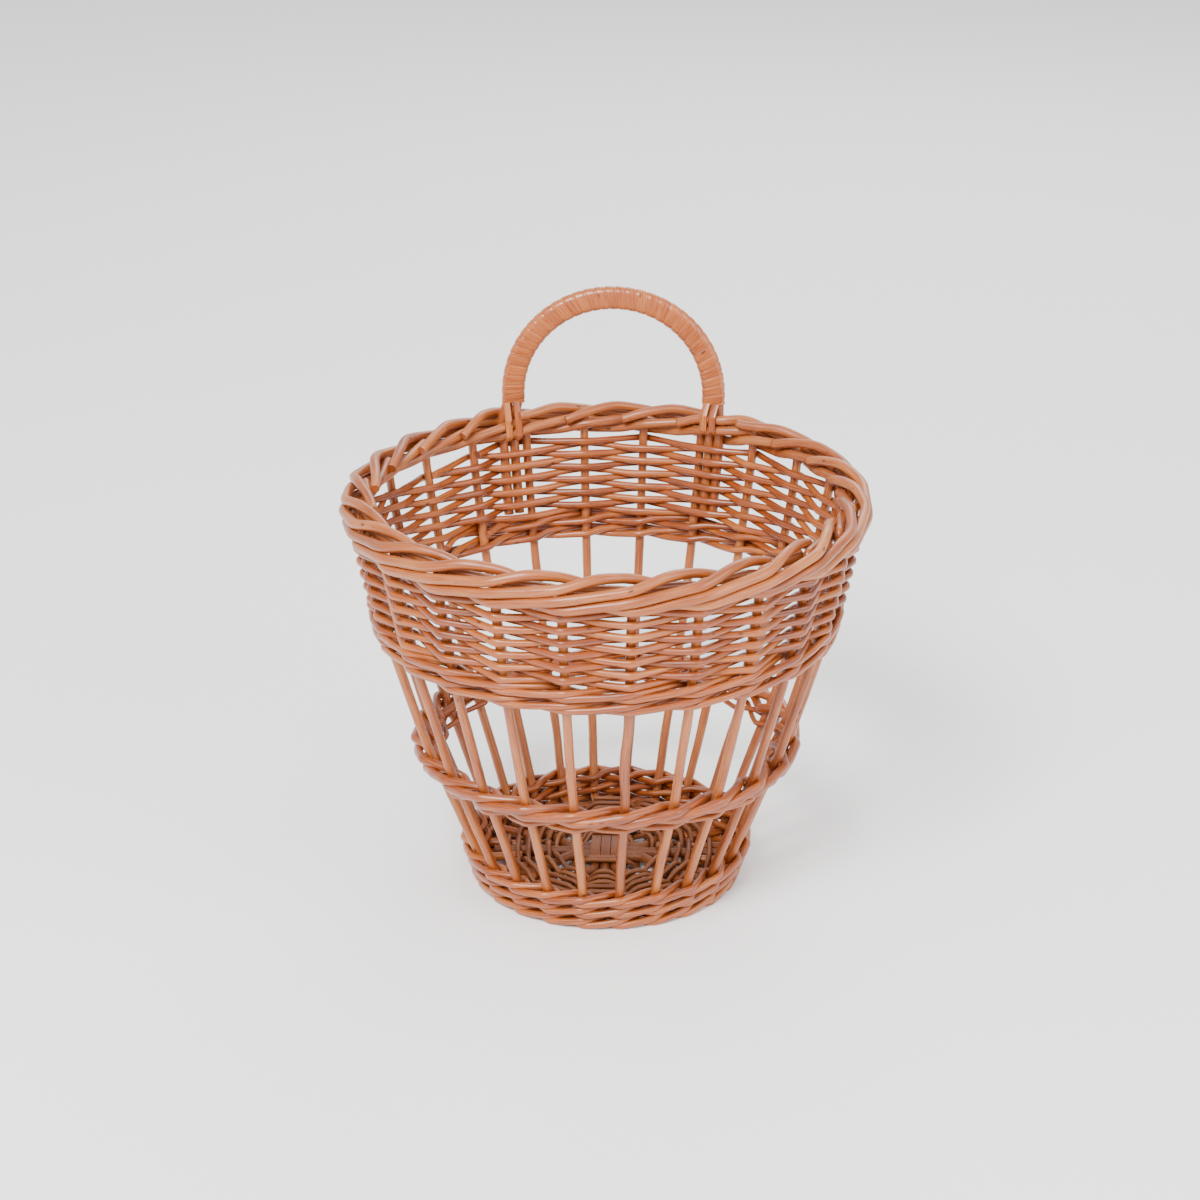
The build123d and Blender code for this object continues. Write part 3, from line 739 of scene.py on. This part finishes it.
def slot_outline(gap, radius):
    """Slot shape: points, outward normals and share of the way round, for each place."""
    arc = np.linspace(-math.pi / 2, math.pi / 2, 22)
    right = np.stack([gap / 2 + radius * np.cos(arc), radius * np.sin(arc)], axis=1)
    right_out = np.stack([np.cos(arc), np.sin(arc)], axis=1)
    across = np.linspace(gap / 2, -gap / 2, 8)[1:-1]
    top = np.stack([across, np.full_like(across, radius)], axis=1)
    top_out = np.tile([0.0, 1.0], (len(across), 1))
    points = np.concatenate([right, top, -right, -top])
    normals = np.concatenate([right_out, top_out, -right_out, -top_out])
    closed = np.concatenate([points, points[:1]])
    lengths = np.concatenate([[0.0], np.cumsum(np.linalg.norm(np.diff(closed, axis=0), axis=1))])
    return points, normals, lengths


foot = np.array([[BOW_HALF, HANDLE_Y, WRAP_FOOT_Z]])
wrap_line = even(np.concatenate([foot, bow_arc(BOW_HALF), foot * [-1, 1, 1]]), 0.33)
runs = np.linalg.norm(np.diff(wrap_line, axis=0), axis=1)
along = np.concatenate([[0.0], np.cumsum(runs)])
ahead = unit(np.gradient(wrap_line, axis=0))
back = np.array([0.0, 1.0, 0.0])
away = np.cross(back, ahead)
outline, normals, lengths = slot_outline(BOW_GAP, BOW_D / 2 + 0.05 + SKEIN)
perimeter = lengths[-1]
pitch_drift = wander(along, 60, 1.1)
phase = (along + pitch_drift)[:, None] / TURN_PITCH - lengths[None, :] / perimeter
place_in_turn = phase - np.floor(phase)
crown = -CROWN * np.abs(2 * place_in_turn - 1) ** 5 + 0.16 * (place_in_turn - 0.5)
lifted = outline[None] + crown[:, :-1, None] * normals[None]
wrap_grid = (wrap_line[:, None, :] + lifted[..., :1] * away[:, None, :] + lifted[..., 1:] * back)
wrap = grid_object("handle_winding", wrap_grid, TURN_PITCH * place_in_turn,
                   perimeter * np.floor(phase) + lengths[None, :], 0.6)
place(wrap, skein_finish, "willow_skein", "handle_wrap")
print("turns of the winding:", round(along[-1] / TURN_PITCH))

# %% [markdown]
# At each foot two strips run down from the winding and over the inner rods of the border.
# A strip is a rod with a very flat section.

# %% Lashings
LASH_HALF = 1.75
RIGHT_LASH = np.array([(-3.9, 15.5), (-7.8, 10.0), (-7.8, 3.0), (-5.8, 0.8), (-3.8, 0.8)])
LEFT_LASH = np.array([(-3.9, 15.5), (-6.2, 7.0), (-7.2, -0.4), (-5.4, -3.0), (-3.4, -3.2)])
for side, marks, hand in (("right", RIGHT_LASH, 1), ("left", LEFT_LASH, -1)):
    stake = stake_angle(RIGHT_STAKE if hand > 0 else LEFT_STAKE)
    strips = []
    for offset in (RIGHT_RODS if hand > 0 else LEFT_RODS):
        bearing = stake - hand * math.degrees(offset / BORDER_R)
        line = soften(even(polar(bearing, BORDER_R + marks[:, 0], BORDER_Z + marks[:, 1]), 0.4), 0.4, 0.7)
        strips.append(rod(f"foot_strip_{side}", line, polar(bearing + 90, 1.0, 0.0), LASH_HALF, SKEIN / 2))
    place(strips[0], skein_finish, "willow_skein", f"handle_lashing_{side}")
    strips[1].data.materials.append(skein_finish)
    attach(strips[1], "root")

# %% [markdown]
# ## Stage, light and camera
#
# The basket stands on a plain pale floor that fades into a pale surround. One broad soft
# light stands high on the left in front, a weaker one fills from the right, and the world
# gives an even glow, so shadows stay soft and the gaps in the weave still read dark.

# %% Floor
floor_mesh = bpy.data.meshes.new("floor")
floor_mesh.from_pydata([(-6, -6, 0), (6, -6, 0), (6, 6, 0), (-6, 6, 0)], [], [(0, 1, 2, 3)])
floor = bpy.data.objects.new("floor", floor_mesh)
bpy.context.scene.collection.objects.link(floor)
paper = bpy.data.materials.new("matt_white_paper")
paper.use_nodes = True
paper_shader = paper.node_tree.nodes["Principled BSDF"]
paper_shader.inputs["Base Color"].default_value = linear("#FCFCFB")
paper_shader.inputs["Roughness"].default_value = 0.9
floor.data.materials.append(paper)

# %% Light
world = bpy.data.worlds.new("pale_surround")
world.use_nodes = True
world.node_tree.nodes["Background"].inputs["Color"].default_value = linear("#FFFFFF")
world.node_tree.nodes["Background"].inputs["Strength"].default_value = 1.15
bpy.context.scene.world = world


def soft_light(name, position, target, size, power):
    """A square area light at a position, turned to face a target."""
    lamp = bpy.data.lights.new(name, "AREA")
    lamp.size = size
    lamp.energy = power
    item = bpy.data.objects.new(name, lamp)
    bpy.context.scene.collection.objects.link(item)
    aim = np.array(target) - np.array(position)
    item.location = position
    item.rotation_euler = (math.atan2(math.hypot(aim[0], aim[1]), -aim[2]), 0.0,
                           math.atan2(aim[1], aim[0]) - math.pi / 2)
    return item


middle = (0.0, 0.0, 0.12)
soft_light("key_light", (-0.5, -1.2, 1.5), middle, 0.7, 58)
soft_light("fill_light", (1.4, -0.8, 0.9), middle, 1.0, 16)
soft_light("back_light", (0.3, 1.5, 1.3), middle, 1.0, 14)

# %% Camera
CAMERA_TURN = 2.0
CAMERA_TILT = 22.93
CAMERA_AWAY = 1.0528
CAMERA_HIGH = 0.5765
camera_data = bpy.data.cameras.new("camera")
camera_data.lens = 78
camera_data.sensor_width = 36
camera_data.shift_x = -0.005
camera = bpy.data.objects.new("camera", camera_data)
bpy.context.scene.collection.objects.link(camera)
turn = math.radians(CAMERA_TURN)
camera.location = (CAMERA_AWAY * math.sin(turn), -CAMERA_AWAY * math.cos(turn), CAMERA_HIGH)
camera.rotation_euler = (math.radians(90 - CAMERA_TILT), 0.0, turn)
bpy.context.scene.camera = camera
